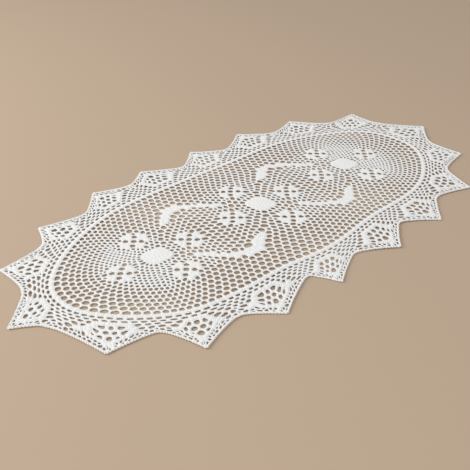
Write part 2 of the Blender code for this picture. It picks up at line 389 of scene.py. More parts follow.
def across_point(index, side):
    """For shares from a point's tip line (0) to its valleys (-1 and 1): the band's edge,
    the runner's edge, the depth between them and the share of a turn."""
    first, tip, last = POINTS[index - 1, 2:], POINTS[index, :2], POINTS[index, 2:]
    size = np.abs(side)[:, None]
    edge = tip + (np.where(side[:, None] > 0, last, first) - tip) * size
    start, end = turn_of(*first), turn_of(*last)
    if end < start:
        end += 1
    turn = start + (end - start) * (side + 1) / 2
    base = laid(on_round(turn, BAND_WIDTH / 2))
    inward = base - edge
    inward /= np.hypot(inward[:, 0], inward[:, 1])[:, None]
    away = (1 - size) * VALLEY_REACH
    sag = SIDE_SAG * 4 * size * (1 - size) + away - np.hypot(away, VALLEY_ROUND)
    edge += inward * sag
    depth = np.hypot(base[:, 0] - edge[:, 0], base[:, 1] - edge[:, 1])
    return base, edge, depth, turn


def inside(shape, spots):
    """Which spots lie in a closed shape, by counting the sides to the right of each."""
    x, y = spots[:, 0], spots[:, 1]
    odd = np.zeros(len(spots), bool)
    for (x0, y0), (x1, y1) in zip(shape, np.roll(shape, -1, 0)):
        if y0 == y1:
            continue
        odd ^= ((y0 > y) != (y1 > y)) & (x < x0 + (y - y0) / (y1 - y0) * (x1 - x0))
    return odd


def unit(vectors):
    """Vectors scaled to a length of one."""
    return vectors / np.maximum(np.hypot(vectors[:, 0], vectors[:, 1]), NEXT_TO_NOTHING)[:, None]


def even(count):
    """Shares evenly spaced between 0 and 1, half a step in from both."""
    return (np.arange(count) + 0.5) / count


def chevrons(wider=0.0):
    """The outlines of the four chevrons, each a strip about its middle line."""
    shapes = []
    line, widths = CHEVRON[:, :2], CHEVRON[:, 2] / 2 + wider
    for window in WINDOWS:
        for turn in (1, -1):
            middle = np.array((window, 0.0)) + turn * line
            course = unit(np.gradient(middle, axis=0))
            ends = np.zeros((len(line), 1))
            ends[0], ends[-1] = -wider, wider
            side = np.stack([-course[:, 1], course[:, 0]], 1) * widths[:, None]
            reach = middle + course * ends
            shapes.append(np.concatenate([reach + side, (reach - side)[::-1]]))
    return shapes


def mitre(u):
    """The height at which a window's columns meet the rounds, u from the nearest disc."""
    return MITRE_START + MITRE_SLOPE * (u - MITRE_START)


def row_height(x, number):
    """The height of a round over the line of discs: evenly between the band and the
    disc, and wider apart, like a cosine, towards the seams between the discs."""
    foot = np.stack([x, 0 * x], 1)
    top = band_reach(foot, np.tile((0.0, 1.0), (len(x), 1))) - BAND_WIDTH / 2
    swell = SEAM_SWELL * (1 - np.cos(2 * math.pi * x / DISC_SPACING)) / 2
    share = (number + FIRST_ROUND) / (ROUNDS - 1 + FIRST_ROUND + LAST_ROUND)
    return top - (top - DISC_HALF) * share - swell * (number + 0.5)


def flower_frames():
    """The middle and outward direction of the twelve flowers."""
    frames = []
    for disc in DISCS:
        for quarter in range(4):
            angle = quarter * math.pi / 2
            out = np.array((math.cos(angle), math.sin(angle)))
            frames.append((np.array((disc, 0.0)) + out * FLOWER_REACH, out))
    return frames


def clear(spots, shapes):
    """Which spots lie clear of the flowers, the discs and the given shapes."""
    free = np.ones(len(spots), bool)
    for centre, _ in flower_frames():
        size = (np.abs(spots - centre) / FLOWER_ZONE) ** FLOWER_POWER
        free &= size.sum(1) > 1
    for disc in DISCS:
        local = np.abs(spots - (disc, 0.0))
        free &= (local ** 4).sum(1) ** 0.25 > DISC_HALF + DISC_CLEAR
    for shape in shapes:
        free &= ~inside(shape, spots)
    return free


Stitches = namedtuple("Stitches", "chart spot kind area half free")


class Chart:
    """The stitches gathered so far, one row of columns for each call of put."""

    def __init__(self):
        self.rows = []

    def put(self, chart, kind, area, half=0.0, spot=None, free=False):
        """Add stitches at places of the even pattern, or lying at the given spots."""
        if len(chart):
            spot = laid(chart) if spot is None else spot
            values = (np.full(len(chart), value) for value in (kind, area, half, free))
            self.rows.append((chart, spot, *values))

    def columns(self):
        """The stitches as one set of columns."""
        return Stitches(*[np.concatenate(column) for column in zip(*self.rows)])


def chart_rounds(chart):
    """The net beside the line of discs: straight rounds, every second one offset."""
    avoid = chevrons(CHEVRON_CLEAR)
    for number in range(ROUNDS):
        offset = 0.5 * (number % 2)
        outer = number < OUTER_ROUNDS
        for side in (1, -1):
            if outer:
                step = 2 * DISC_SPACING / OUTER_CELLS
                x = side * ((np.arange(OUTER_CELLS) + offset + 0.25) * step - DISC_SPACING)
            else:
                pitch = INNER_PITCH - PITCH_LOSS * (number - OUTER_ROUNDS)
                row = (np.arange(-INNER_CELLS, INNER_CELLS + 1) + offset) * pitch
                x = np.concatenate([row + disc for disc in DISCS])
            x = x[np.abs(x) <= DISC_SPACING + SLACK]
            y = row_height(x, number)
            u = np.abs(x - np.round(x / DISC_SPACING) * DISC_SPACING)
            keep = (y > mitre(u) + ROUNDS_CLEAR) | (y > WINDOW_TOP)
            spots = np.stack([x, side * y], 1)[keep]
            half = OUTER_HALF if outer else INNER_HALF
            chart.put(spots[clear(spots, avoid)], GAP, NET, half, free=number > 0)


def chart_ends(chart):
    """The net round the end discs: half circles, with as many gaps in each outer one and
    fewer and fewer in the fine ones."""
    counts = [OUTER_CELLS] * OUTER_ROUNDS
    counts += [FINE_CELLS - FINE_LOSS * number for number in range(FINE_ROUNDS)]
    for end in (-1, 1):
        for number, count in enumerate(counts):
            angle = (np.arange(count) + 0.25 + 0.5 * (number % 2)) / count - 0.5
            angle *= math.pi
            direction = np.stack([end * np.cos(angle), -end * np.sin(angle)], 1)
            foot = np.tile((end * DISC_SPACING, 0.0), (count, 1))
            top = band_reach(foot, direction) - BAND_WIDTH / 2
            dip = (SIDE_DIP * np.sin(angle) ** 6, BEND_DIP * np.sin(2 * angle) ** 2)
            seam = FINE_REACH - dip[0] - dip[1]
            disc = (DISC_HALF + END_DISC_CLEAR) * (direction ** 4).sum(1) ** -0.25
            outer = number < OUTER_ROUNDS
            if outer:
                share = (number + FIRST_ROUND) / (OUTER_ROUNDS + FIRST_ROUND - 0.5)
                radius = top - (top - seam) * share
            else:
                share = (number - OUTER_ROUNDS + 0.5) / FINE_ROUNDS
                radius = seam - (seam - disc) * share
            spots = foot + direction * radius[:, None]
            half = OUTER_HALF if outer else FINE_HALF
            chart.put(spots[clear(spots, [])], GAP, NET, half, free=number > 0)


def chart_windows(chart):
    """The two windows between the discs: upright columns either side of a seam."""
    avoid = chevrons(CHEVRON_CLEAR)
    for window in WINDOWS:
        for side in (-1, 1):
            for column, away in enumerate(COLUMNS):
                u = DISC_SPACING / 2 - away
                pitch = max(SEAM_PITCH - COLUMN_LOSS * away, LEAST_PITCH)
                y = (np.arange(-COLUMN_CELLS, COLUMN_CELLS + 1) + 0.5 * (column % 2 == 0)) * pitch
                y = y[np.abs(y) < mitre(u) - COLUMNS_CLEAR]
                spots = np.stack([0 * y + window + side * away, y], 1)
                chart.put(spots[clear(spots, avoid)], GAP, NET, WINDOW_HALF, free=True)


def chart_medallions(chart):
    """The solid stitches: chevrons in rows, flowers on their grid, discs in rings."""
    for shape in chevrons():
        x = np.arange(shape[:, 0].min(), shape[:, 0].max(), CHEVRON_PITCH)
        side = np.sign(shape[0, 1])
        for number in range(CHEVRON_ROUND, ROUNDS):
            spots = np.stack([x, side * row_height(x, number)], 1)
            chart.put(spots[inside(shape, spots)], STITCH, MEDALLIONS)
    step = FLOWER_STEP
    holes = np.array([(0, 0), (step, step), (step, -step), (-step, step), (-step, -step)])
    posts = [(x, y) for x in TIP_POSTS for y in (-2 * step, 2 * step)]
    posts += [(x, y) for x in ROW_POSTS for y in (-step, step)]
    posts += [(side * x, 0) for side in (-1, 1) for x in ARM_POSTS]
    posts += [(x, y) for x in MIDDLE_POSTS for y in MIDDLE_POSTS]
    posts = np.array(posts)
    for centre, out in flower_frames():
        turned = np.array([(-out[1], out[0]), out])
        chart.put(centre + holes @ turned, GAP, FLOWER, FLOWER_HALF)
        chart.put(centre + posts @ turned, STITCH, MEDALLIONS)
    for disc in DISCS:
        for count, radius in DISC_RINGS:
            angle = (np.arange(count) + 0.5) * 2 * math.pi / count
            way = np.stack([np.cos(angle), np.sin(angle)], 1)
            square = (way ** 4).sum(1)[:, None] ** -0.25
            chart.put(way * square * radius + (disc, 0.0), STITCH, MEDALLIONS)


def chart_band(chart):
    """The oval band: double crochets side by side, evenly spaced along its length."""
    line = on_round(even(BAND_STEPS), 0)
    step = np.roll(line, -1, 0) - line
    run = np.concatenate([[0], np.cumsum(np.hypot(step[:, 0], step[:, 1]))])
    count = round(run[-1] / BAND_PITCH)
    turn = np.interp(even(count) * run[-1], run, (np.arange(BAND_STEPS + 1) + 0.5) / BAND_STEPS)
    chart.put(on_round(turn, 0), STITCH, BAND)


class HalfPoint:
    """Half a point of the border, from its tip line to the valley on one side. Its stitches
    lie at shares of that way (s), so far out from the band, where the lace is d deep."""

    def __init__(self, chart, index, sign):
        self.chart, self.index, self.sign = chart, index, sign
        base, edge, self.depth, _ = across_point(index, np.array((BY_THE_TIP, 1.0)) * sign)
        self.width = math.hypot(*(base[0] - base[1]))
        self.length = math.hypot(*(edge[0] - edge[1]))

    def put(self, side, out_of, kind, area, half=0.0):
        """Add stitches at shares of the way, as far out as the function of s and d says."""
        side = np.asarray(side, float)
        if self.sign < 0:
            side = side[(side > TINY) & (side < 1 - TINY)]
        if not len(side):
            return
        base, edge, depth, turn = across_point(self.index, side * self.sign)
        out = out_of(side, depth) + 0 * side
        way = (edge - base) / depth[:, None]
        growth = np.clip((side - STRETCH_FROM) / STRETCH_OVER, 0, 1)
        limit = STRETCH_DEPTH + STRETCH_GROWTH * growth
        stretched = out + STRETCH * np.minimum(out, limit)
        self.chart.put(on_round(turn, BAND_WIDTH / 2 + stretched), kind, area, half,
                       spot=base + way * out[:, None])

    def rows(self):
        """Rows of flat gaps along the band that bend out beside the point."""
        cells = round(self.width / LENS_PITCH)
        deep = self.depth[1] - ROWS_SHORT
        count = max(round(deep / ROW_PITCH), FEWEST_ROWS)
        pitch = deep / count
        for number, (start, bend) in enumerate(BORDER_ROWS[:count]):
            side = (np.arange(cells + 1) + 0.5 * (number % 2 == 0)) / cells
            side = side[(side >= start) & (side <= 1)]
            self.put(side, lambda s, d: (number + 0.5) * pitch + (1 - s) * bend,
                     GAP, BORDER, LENS_HALF)

    def fan(self):
        """The fan of gaps, with wider strands in the far points and the end points."""
        x, y = POINTS[self.index, :2]
        half = FAR_FAN_HALF if y > 0 else FAN_HALF
        if abs(x) > END_POINTS:
            half = END_FAN_HALF
        spread = np.clip(FAN_WIDTH / self.width, *FAN_SPREAD)
        for side, share in FAN:
            self.put([side * spread], lambda s, d: share * self.depth[0], GAP, BORDER, half)

    def edge(self):
        """The solid edge, the slits inside it, and the inner slits and posts at the tip."""
        for row in EDGE_ROWS:
            count = round(row.span * self.length / row.pitch) if row.pitch else 1
            side = row.start + row.run * (np.arange(count) + 0.5) / count
            self.put(side, lambda s, d: d - row.inside, row.kind, row.area, row.half)

    def rib(self):
        """The solid stitches at the fan's foot, and the rib from there out to the edge."""
        posts = round(FOOT_SPAN * self.width / FOOT_PITCH)
        self.put(even(posts) * FOOT_SPAN, lambda s, d: FOOT_OUT, STITCH, EDGE)
        run = math.hypot(FOOT_SPAN * self.length, self.depth[0] - COUNT_LOSS)
        posts = round(run / RIB_PITCH)
        self.put(RIB_START + RIB_RUN * np.arange(posts) / posts,
                 lambda s, d: RIB_OUT + (d - REACH_LOSS) * (s - RIB_START) / RIB_RUN, STITCH, EDGE)

    def beyond(self):
        """Spots just past the edge, which close its cells and carry no stitch."""
        row = EDGE_ROWS[0]
        count = round(self.length / row.pitch)
        side = np.arange(count + (self.sign > 0)) / count
        self.put(side, lambda s, d: d + row.inside, BEYOND, EDGE)


def whole_chart():
    """Every stitch of the lace."""
    chart = Chart()
    for fill in (chart_rounds, chart_ends, chart_windows, chart_medallions, chart_band):
        fill(chart)
    for index in range(len(POINTS)):
        for sign in (-1, 1):
            half = HalfPoint(chart, index, sign)
            for work in (half.rows, half.fan, half.edge, half.rib, half.beyond):
                work()
    return chart.columns()


def triangles(chart):
    """Delaunay triangles between places of the even pattern, anticlockwise."""
    _, _, faces, origins, _, _ = delaunay_2d_cdt(chart.tolist(), [], [], 0, TINY)
    source = np.array([origin[0] for origin in origins])
    corners = source[np.array(faces)]
    a, b, c = (chart[corners[:, k]] for k in range(3))
    turned = cross(b - a, c - a) < 0
    corners[turned] = corners[turned][:, ::-1]
    return corners


Ways = namedtuple("Ways", "origin target twin before")


def half_edges(corners):
    """The sides of the triangles, each with its opposite in the next triangle (or -1)
    and the side before it in its own."""
    origin = corners.ravel().astype(np.int64)
    target = np.roll(corners, -1, 1).ravel().astype(np.int64)
    span = origin.max() + 1
    key, reverse = origin * span + target, target * span + origin
    order = np.argsort(key)
    at = np.minimum(np.searchsorted(key[order], reverse), len(key) - 1)
    twin = order[at]
    twin[key[twin] != reverse] = -1
    number = np.arange(len(key))
    return Ways(origin, target, twin, number - number % 3 + (number + 2) % 3)


def cross(a, b):
    """The cross product of flat vectors."""
    return a[:, 0] * b[:, 1] - a[:, 1] * b[:, 0]


def cell_sums(cell, vectors, count):
    """The sum of the flat vectors in each of so many cells."""
    return np.stack([np.bincount(cell, vectors[:, k], count) for k in (0, 1)], 1)


def relaxed(stitches, rounds):
    """The even pattern with its free stitches moved towards the middles of their cells,
    each middle being the mean of the cell's thin triangles, weighted by their areas."""
    chart = stitches.chart
    for _ in range(rounds):
        corners = triangles(chart)
        ways = half_edges(corners)
        middles = chart[corners].mean(1)
        sides = np.flatnonzero(ways.twin >= 0)
        start, end = middles[ways.twin[sides] // 3], middles[sides // 3]
        centre = chart[ways.origin[sides]]
        area = cross(start - centre, end - centre)
        total = np.bincount(ways.origin[sides], area, len(chart))
        spot = (start + end + centre) / 3
        middle = cell_sums(ways.origin[sides], area[:, None] * spot, len(chart))
        middle /= np.maximum(total, NEXT_TO_NOTHING)[:, None]
        moved = chart + RELAX_STEP * (middle - chart)
        chart = np.where(stitches.free[:, None], moved, chart)
    return chart


Cells = namedtuple("Cells", "start end middle_id after centre reach kind area half border "
                            "border_kind dual_count neighbour back")


@lru_cache(maxsize=2)
def lace_cells(relax_rounds):
    """The whole pattern as cells: for every side of every cell its two corners and its
    middle, shared with the neighbour."""
    stitches = whole_chart()
    even_spots = relaxed(stitches, relax_rounds)
    astray = np.random.default_rng(SEED + 2).normal(0.0, UNEVEN_SPOT, even_spots.shape)
    spots = np.where(stitches.free[:, None], laid(even_spots) + astray, stitches.spot)
    corners = triangles(even_spots)
    corners = corners[(stitches.kind[corners] != BEYOND).any(1)]
    ways = half_edges(corners)
    duals, dual_kind = dual_points(stitches, spots, corners)
    sides = np.flatnonzero((ways.twin >= 0) & (stitches.kind[ways.origin] != BEYOND))
    twin = ways.twin[sides]
    start, end = twin // 3, sides // 3
    low = np.minimum(sides, twin)
    edges, middle_id = np.unique(low, return_inverse=True)
    first, second = ways.twin[edges] // 3, edges // 3
    middles = (duals[first] + duals[second]) / 2
    both = stitches.kind[np.stack([ways.origin[edges], ways.target[edges]])]
    middle_kind = np.where((both == BEYOND).any(0), RIM, (both == STITCH).sum(0))
    place = np.full(len(ways.origin), -1)
    place[sides] = np.arange(len(sides))
    after = place[ways.twin[ways.before[sides]]]
    cell = ways.origin[sides]
    count = np.maximum(np.bincount(cell, minlength=len(spots)), 1)
    centre = cell_sums(cell, duals[start], len(spots)) / count[:, None]
    area = np.bincount(cell, cross(duals[start] - centre[cell], duals[end] - centre[cell]) / 2,
                       len(spots))
    reach = np.sqrt(np.maximum(area, 0) / math.pi)
    return Cells(
        start=start,
        end=end,
        middle_id=middle_id + len(duals),
        after=after,
        centre=centre[cell],
        reach=reach[cell],
        kind=stitches.kind[cell],
        area=stitches.area[cell],
        half=stitches.half[cell],
        border=np.concatenate([duals, middles]),
        border_kind=np.concatenate([dual_kind, middle_kind]),
        dual_count=len(duals),
        neighbour=np.where(stitches.kind[ways.target[sides]] == BEYOND, -1,
                           stitches.area[ways.target[sides]]),
        back=sides > twin,
    )


def dual_points(stitches, spots, corners):
    """The corner that three cells share: the middle of the three, but round a flower's
    gap always at that gap's own reach. Its kind says what meets there: only gaps, a
    stitch and a gap, only stitches, or the rim of the lace."""
    middle = spots[corners].mean(1)
    hole = stitches.area[corners] == FLOWER
    centre = (spots[corners] * hole[:, :, None]).sum(1)
    clamped = centre + unit(middle - centre) * FLOWER_GAP
    solid = (stitches.kind[corners] == STITCH).sum(1)
    kind = np.where(solid == 3, GROOVE, np.where(solid > 0, SHORE, STRAND))
    kind = np.where((stitches.kind[corners] == BEYOND).any(1), RIM, kind)
    return np.where(hole.sum(1)[:, None] == 1, clamped, middle), kind


def lift(spots, sizes):
    """How high the lace lies over the floor: two long crossed ripples and a small rise of
    the discs, like a bell curve."""
    x, y = spots[:, 0], spots[:, 1]
    ripple = np.sin(x / RIPPLE_ALONG + RIPPLE_BEND * np.sin(y / BEND_LENGTH))
    ripple *= np.sin(y / RIPPLE_ACROSS + x / RIPPLE_SLANT)
    rise = np.zeros(len(spots))
    for disc in DISCS:
        rise += np.exp(-((x - disc) ** 2 + y ** 2) / DISC_RISE_REACH ** 2)
    return sizes.ripple / MM * (1 + ripple) / 2 + sizes.disc_rise / MM * rise


def box_middle():
    """The middle of the box round the points, hollow sides and all."""
    edges = [across_point(index, np.array((-0.5, 0.0, 0.5)))[1] for index in range(len(POINTS))]
    edges = np.concatenate(edges)
    return (edges.min(0) + edges.max(0)) / 2


Rims = namedtuple("Rims", "start middle")


def rim_shares(cells, sizes):
    """How far the rim of each gap lies from its middle, as a share of the way to the
    cell's border: the strand's half width is taken off, more at the corners, so that
    the gap is rounded, and a little unevenly."""
    border, kinds = cells.border, cells.border_kind
    uneven = np.random.default_rng(SEED + 1).normal(0.0, UNEVEN_RIM, len(border))
    half = cells.half * sizes.strand_width / (USUAL_WIDTH * MM)
    edge = unit(border[cells.end] - border[cells.start])
    shares = []
    for point, insets in ((cells.start, CORNER_INSETS), (cells.middle_id, SIDE_INSETS)):
        away = border[point] - cells.centre
        reach = np.hypot(away[:, 0], away[:, 1])
        near = CORNER_REACH * reach
        if insets is SIDE_INSETS:
            near = np.abs(cross(edge, cells.centre - border[cells.start]))
        inset = np.where(kinds[point] == STRAND, *insets)
        share = 1 - inset * half * (1 + uneven[point]) / near
        share -= LONG_GAP * np.maximum(1 - cells.reach / reach, 0)
        shares.append(np.clip(share, *RIM_LIMITS))
    return Rims(*shares)


def flat_area(areas, sizes):
    """The area of a piece of the lace lying flat, in square metres: its cells' triangles,
    less the gaps' triangles inside their rims."""
    cells = lace_cells(sizes.relax_rounds)
    rims = rim_shares(cells, sizes)
    start, middle, end = (cells.border[point] - cells.centre
                          for point in (cells.start, cells.middle_id, cells.end))
    whole = cross(start, end)
    before = start * rims.start[:, None]
    halfway = middle * rims.middle[:, None]
    after = end * rims.start[cells.after][:, None]
    open_part = np.where(cells.kind == GAP, cross(before, halfway) + cross(halfway, after), 0)
    return float((whole - open_part)[np.isin(cells.area, areas)].sum() / 2) * MM ** 2


def border_heights(cells, thick, crown):
    """The heights of the border's points over the floor, above and below: by what meets
    there, with knots at the corners of strands. Every second draw is passed over."""
    kinds = cells.border_kind
    uneven = np.random.default_rng(SEED).normal(0.0, 1.0, (len(kinds), 2))[:, 0]
    heights = zip(BORDER_TOPS, (thick, thick, crown, thick))
    top = np.choose(kinds, [share * height for share, height in heights]) + uneven * UNEVEN_TOP
    knots = kinds[:cells.dual_count] == STRAND
    top[:cells.dual_count] += np.where(knots, KNOT_LIFT, OTHER_LIFT)
    return top, np.where(kinds == RIM, thick * RIM_BOTTOM, UNDERSIDE)


class Surface:
    """One piece of the lace as one closed surface. Every side of a cell is a strip of
    quads from the shared border inwards: over a strand and round its rim to the
    underside for a gap, or up to the crest of a dome for a solid stitch."""

    def __init__(self, areas, sizes):
        cells = lace_cells(sizes.relax_rounds)
        take = np.isin(cells.area, areas)
        chosen = np.flatnonzero(take)
        place = np.full(len(take), -1)
        place[chosen] = np.arange(len(chosen))
        border = cells.border
        start, middle, end = cells.start[chosen], cells.middle_id[chosen], cells.end[chosen]
        self.crown = sizes.stitch_height / MM
        self.top, bottom = border_heights(cells, sizes.net_thickness / MM, self.crown)
        self.after = place[cells.after[chosen]]
        self.centre = cells.centre[chosen]
        self.back = cells.back[chosen]
        self.run = np.hypot(*(border[end] - border[start]).T)
        rims = rim_shares(cells, sizes)
        self.rings = ((start, border[start] - self.centre, rims.start[chosen]),
                      (middle, border[middle] - self.centre, rims.middle[chosen]))
        self.verts, self.faces, self.coords = [], [], []
        over, under = self.add(border, self.top), self.add(border, bottom)
        self.line_top = (start + over, middle + over, end + over)
        self.line_under = (start + under, middle + under, end + under)
        is_gap = cells.kind[chosen] == GAP
        if is_gap.any():
            self.work_gaps(np.flatnonzero(is_gap))
        if not is_gap.all():
            self.work_stitches(np.flatnonzero(~is_gap))
        walls = sum(len(faces) for faces in self.faces)
        self.work_walls(np.flatnonzero(~np.isin(cells.neighbour[chosen], areas)))
        self.verts, self.faces = np.concatenate(self.verts), np.concatenate(self.faces)
        self.coords = np.concatenate(self.coords)
        self.smooth = np.arange(len(self.faces)) < walls

    def add(self, points, heights):
        """Add points at their heights, and give the number of the first one."""
        first = sum(len(verts) for verts in self.verts)
        self.verts.append(np.concatenate([points, heights[:, None]], 1))
        return first

    def ring(self, share_of, height_of, which):
        """A ring of points inside the chosen cells, as the line of three of every side: at
        a share of the way out from the cell's middle, worked out from its rim's share."""
        first = []
        for point, away, rim in self.rings:
            share = share_of(rim[which]) + 0 * rim[which]
            spots = self.centre[which] + away[which] * share[:, None]
            first.append(self.add(spots, height_of(point[which]) + 0 * share))
        number = np.full(len(self.centre), -1)
        number[which] = np.arange(len(which))
        corner = number + first[0]
        return corner, number + first[1], corner[self.after]

    def on_posts(self, faces, which):
        """Where the corners of solid stitches' faces lie across and along the post, from
        the stitch's middle. Posts stand straight out from the line of the discs."""
        centre = self.centre[which]
        foot = np.stack([np.clip(centre[:, 0], -DISC_SPACING, DISC_SPACING), 0 * centre[:, 0]], 1)
        out = unit(centre - foot)[:, None]
        away = np.concatenate(self.verts)[:, :2][faces] - centre[:, None]
        across = away[:, :, 0] * -out[:, :, 1] + away[:, :, 1] * out[:, :, 0]
        return np.stack([across, (away * out).sum(2) * POST_TWIST], 2)

    def strip(self, outer, inner, which, levels=None):
        """Two quads for each side, from an outer line of three to an inner one. The thread
        runs along a strand at the two levels across it, or else along a solid stitch."""
        run, back = self.run[which], self.back[which]
        for k in (0, 1):
            quad = [outer[k], outer[k + 1], inner[k + 1], inner[k]]
            faces = np.stack([line[which] for line in quad], 1)
            self.faces.append(faces)
            if levels is None:
                self.coords.append(self.on_posts(faces, which))
                continue
            along = [np.where(back, run - u, u) for u in (run * k / 2, run * (k + 1) / 2)]
            corners = zip(along + along[::-1], np.repeat(levels, 2))
            self.coords.append(np.stack([np.stack([u, 0 * u + v], 1) for u, v in corners], 1))

    def work_gaps(self, gaps):
        """The strands round the gaps: down over a shoulder to the rim and underneath."""
        shoulder = self.ring(lambda rim: 1 - (1 - rim) * SHOULDER_WAY,
                             lambda point: self.top[point] * SHOULDER_TOP, gaps)
        rim = self.ring(lambda rim: rim, lambda point: self.top[point] * GAP_RIM_TOP, gaps)
        self.strip(self.line_top, shoulder, gaps, (0.0, 0.5))
        self.strip(shoulder, rim, gaps, (0.5, 1.0))
        self.strip(rim, self.line_under, gaps, (1.0, 0.0))

    def work_stitches(self, solids):
        """The domes of the solid stitches, up two rings to a peak, and flat underneath."""
        slope, crest = (self.ring(lambda rim: way, lambda point: self.crown * top, solids)
                        for way, top in DOME)
        self.strip(self.line_top, slope, solids)
        self.strip(slope, crest, solids)
        level = np.zeros(len(self.centre))
        peak = self.add(self.centre, level + self.crown * PEAK_TOP)
        pit = self.add(self.centre, level)
        head = first_of_cell(self.after)[solids]
        for line, point, turn in ((crest, peak, 1), (self.line_under, pit, -1)):
            for k in (0, 1):
                corners = [line[k][solids], line[k + 1][solids], point + head][::turn]
                faces = np.stack(corners + [np.full(len(solids), NO_CORNER)], 1)
                self.faces.append(faces)
                self.coords.append(self.on_posts(faces, solids))

    def work_walls(self, outer):
        """Upright walls where the piece meets another or ends."""
        top, under = self.line_top, self.line_under
        for k in (0, 1):
            quad = (top[k + 1], top[k], under[k], under[k + 1])
            self.faces.append(np.stack([line[outer] for line in quad], 1))
            self.coords.append(np.zeros((len(outer), 4, 2)))


def first_of_cell(after):
    """For each side of a cell the lowest numbered side of that cell, by passing the
    lowest number round and round until every side has it."""
    head = np.arange(len(after))
    while True:
        lower = np.minimum(head, head[after])
        if (lower == head).all():
            return head
        head = lower


def put_piece(name, areas):
    """A piece of the lace as a mesh object, of the areas given, with unused points
    dropped. A triangle's fourth corner isn't shown."""
    sizes = bpy.context.scene.lace_sizes
    surface = Surface(areas, sizes)
    verts, faces = surface.verts, surface.faces
    shown = faces != NO_CORNER
    used = np.unique(faces[shown])
    number = np.full(len(verts), -1)
    number[used] = np.arange(len(used))
    verts = verts[used]
    verts[:, 2] += lift(verts[:, :2], sizes)
    verts[:, :2] -= box_middle()
    verts *= MM
    size = shown.sum(1)
    mesh = bpy.data.meshes.new(name)
    for items, value, array in (
            (mesh.vertices, "co", verts.astype(np.float32)),
            (mesh.loops, "vertex_index", number[faces[shown]].astype(np.int32)),
            (mesh.polygons, "loop_start", (np.cumsum(size) - size).astype(np.int32))):
        items.add(len(array))
        items.foreach_set(value, array.ravel())
    mesh.polygons.foreach_set("use_smooth", surface.smooth)
    mesh.update(calc_edges=True)
    uv = mesh.uv_layers.new(name=THREAD)
    uv.data.foreach_set("uv", surface.coords[shown].astype(np.float32).ravel())
    mesh.validate(verbose=False)
    mesh.materials.append(cotton())
    piece = bpy.data.objects.new(name, mesh)
    bpy.context.scene.collection.objects.link(piece)
    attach(piece, BODY)
    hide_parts(NODE)


class Wire:
    """A shader socket that can be added and multiplied like a number."""

    def __init__(self, tree, socket):
        self.tree = tree
        self.socket = socket

    def _maths(self, operation, *values):
        return self.tree.node("ShaderNodeMath", {"operation": operation}, dict(enumerate(values)))

    def __add__(self, other):
        return self._maths("ADD", self, other)

    __radd__ = __add__

    def __mul__(self, other):
        return self._maths("MULTIPLY", self, other)

    def sine(self):
        """The sine of the value."""
        return self._maths("SINE", self)


class Finish:
    """A material being built: its node tree and one method that adds any node."""

    def __init__(self, name):
        self.material = bpy.data.materials.new(name)
        self.material.use_nodes = True
        self.tree = self.material.node_tree
        self.sockets = self.tree.nodes["Principled BSDF"].inputs

    def node(self, kind, settings=None, inputs=None, output=0):
        """Add a node of a kind, with its settings, then its sockets' values or links."""
        made = self.tree.nodes.new(kind)
        for name, value in (settings or {}).items():
            setattr(made, name, value)
        self.feed(made.inputs, inputs or {})
        return Wire(self, made.outputs[output])

    def feed(self, sockets, values):
        """Link wires to sockets, or set the sockets' own values."""
        for name, value in values.items():
            if isinstance(value, Wire):
                self.tree.links.new(value.socket, sockets[name])
            else:
                sockets[name].default_value = value

    def blend(self, share, first, second):
        """A colour between two colours."""
        return self.node("ShaderNodeMix", {"data_type": "RGBA"},
                         {0: share, 6: first, 7: second}, output=2)

    def noise(self, place, scale, roughness):
        """Soft noise of a size, as a value."""
        return self.node("ShaderNodeTexNoise", {}, {
            "Vector": place, "Scale": scale, "Detail": 3.0, "Roughness": roughness})


def cotton_finish(look):
    """Matte crochet cotton: a twisted thread along each strand, with painted shade in the grooves
    of its twist, fine loose fibres, and a white that is a little creamier and greyer from place to
    place."""
    finish = Finish(COTTON)
    place = finish.node("ShaderNodeTexCoord", output=3)
    thread = finish.node("ShaderNodeUVMap", {"uv_map": THREAD})
    along, across = (finish.node("ShaderNodeSeparateXYZ", inputs={0: thread}, output=axis)
                     for axis in (0, 1))
    turns = along * (2 * math.pi / TWIST_LENGTH) + across * TWIST_SLANT
    twist = turns.sine() * 0.5 + 0.5
    fibre = finish.noise(place, FIBRE_SCALE, 0.7)
    patch = finish.noise(place, PATCH_SCALE, 0.5)
    height = twist * TWIST_RELIEF + fibre * FIBRE_RELIEF
    bump = finish.node("ShaderNodeBump", {}, {
        "Strength": BUMP_STRENGTH, "Distance": BUMP_DISTANCE, "Height": height})
    shade = finish.blend(patch, (*look.cotton_colour, 1.0), (*look.aged_colour, 1.0))
    # Painted shade: the base colour is drawn towards the dark groove shade in the twist's troughs,
    # where the relief lies low
    unshaded = twist * GROOVE_PAINTED_SHADE + (1 - GROOVE_PAINTED_SHADE)
    colour = finish.blend(unshaded, (*look.painted_groove_shade, 1.0), shade)
    finish.feed(finish.sockets, {
        "Base Color": colour, "Roughness": LEAST_ROUGHNESS + fibre * FIBRE_ROUGHNESS,
        "Normal": bump, "Metallic": 0.0, "Specular IOR Level": 0.3,
        "Sheen Weight": look.sheen, "Sheen Roughness": 0.5})
    return finish.material


def cotton():
    """The one cotton material that all pieces share."""
    return bpy.data.materials.get(COTTON) or cotton_finish(bpy.context.scene.cotton_look)


